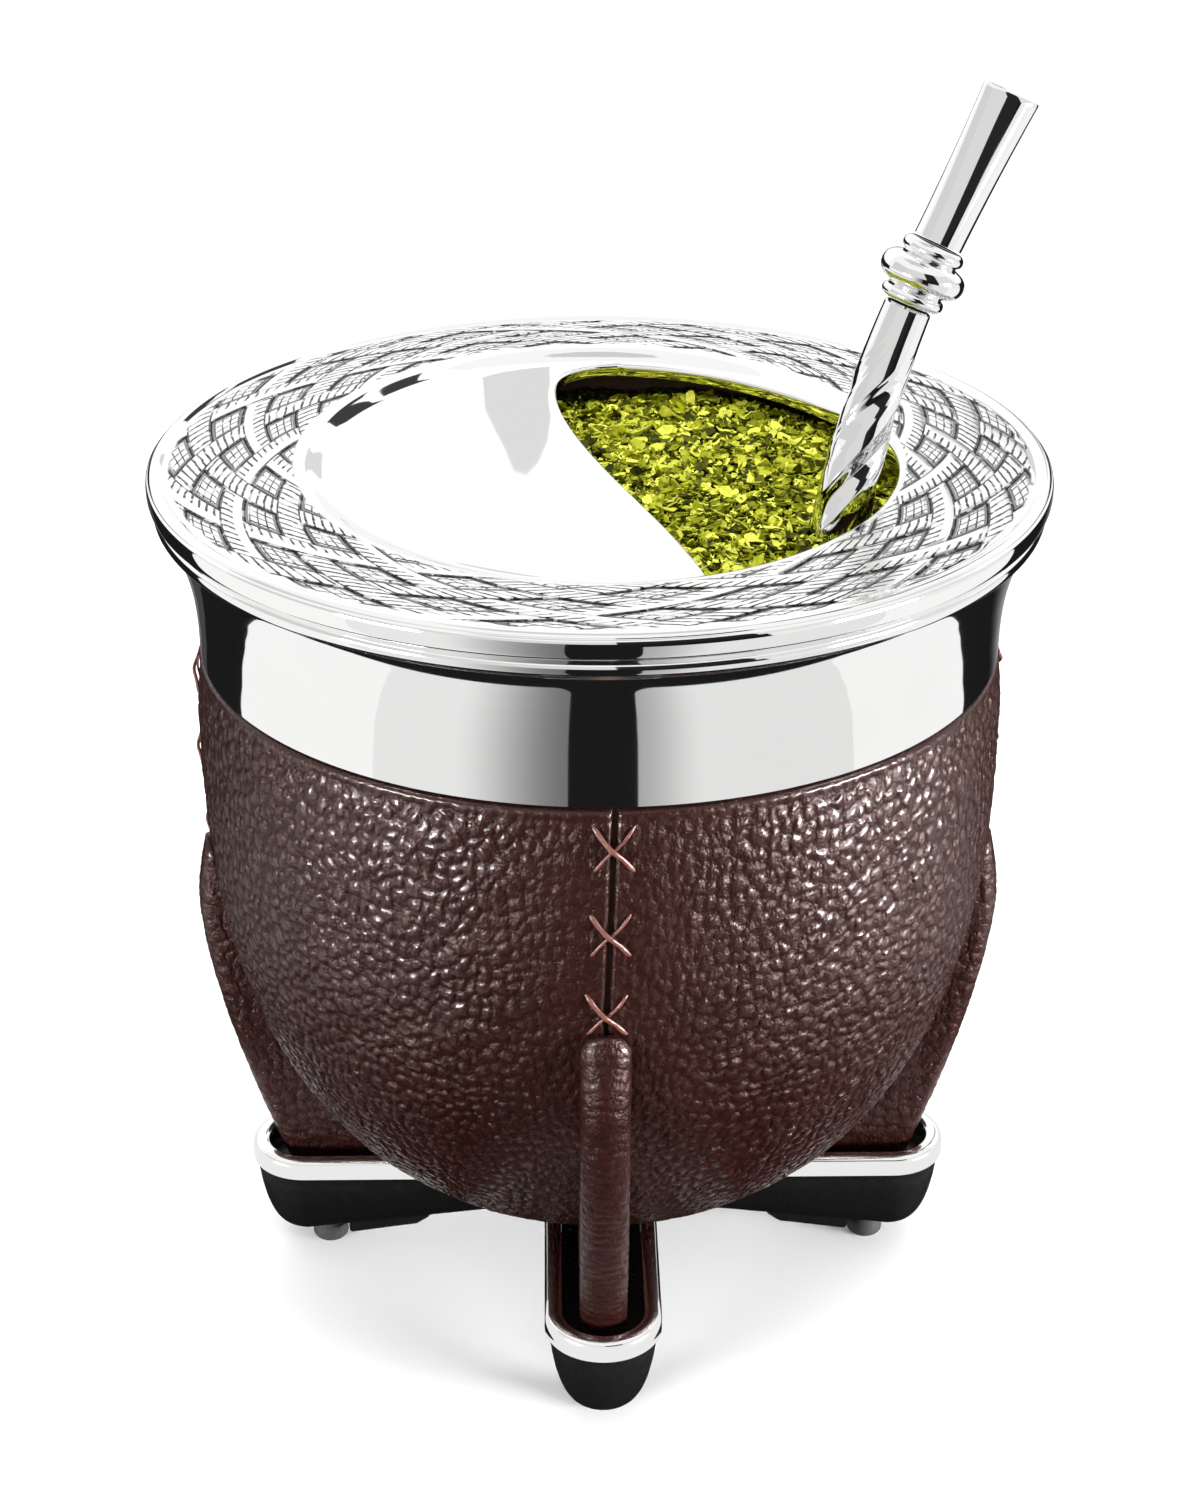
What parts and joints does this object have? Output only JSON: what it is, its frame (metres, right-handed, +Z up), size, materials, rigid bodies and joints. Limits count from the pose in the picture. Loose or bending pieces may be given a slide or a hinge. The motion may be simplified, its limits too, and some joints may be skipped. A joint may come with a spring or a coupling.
{
  "type": "mate cup with yerba and straw",
  "caption": "Leather-covered mate gourd on a cross foot, with a wide engraved metal rim, dry yerba in its side opening and a leaning metal straw.",
  "frame": {"origin": "on the table, under the middle of the rim", "axes": "+Z up; one leg and seam point along -Y, the front; the opening and the straw are on the +X side"},
  "size_m": [0.105, 0.105, 0.154],
  "materials": {
    "polished_metal": "mirror polished nickel silver, engraved on the rim",
    "straw_metal": "mirror polished, carved on the lower tube",
    "gourd": "dry matt gourd",
    "leather": "dark brown pebbled leather, half gloss",
    "black_plastic": "black, half gloss",
    "rubber": "matt black",
    "lacing": "copper brown leather lace",
    "yerba": null
  },
  "bodies": {
    "root": {"rim_flange": "polished_metal", "collar_band": "polished_metal", "gourd_shell": "gourd", "leather_panel_front_right": "leather", "leather_panel_back_right": "leather", "leather_panel_back_left": "leather", "leather_panel_front_left": "leather", "leg_front": "leather", "leg_right": "leather", "leg_back": "leather", "leg_left": "leather", "foot_cross": "black_plastic", "foot_trim": "polished_metal", "foot_stud_front": "rubber", "foot_stud_right": "rubber", "foot_stud_back": "rubber", "foot_stud_left": "rubber", "stitch_front_1": "lacing", "stitch_front_2": "lacing", "stitch_front_3": "lacing", "stitch_right_1": "lacing", "stitch_right_2": "lacing", "stitch_right_3": "lacing", "stitch_back_1": "lacing", "stitch_back_2": "lacing", "stitch_back_3": "lacing", "stitch_left_1": "lacing", "stitch_left_2": "lacing", "stitch_left_3": "lacing", "yerba": "yerba", "straw_tube": "straw_metal", "straw_collar": "straw_metal", "straw_mouthpiece": "straw_metal"}
  },
  "joints": []
}
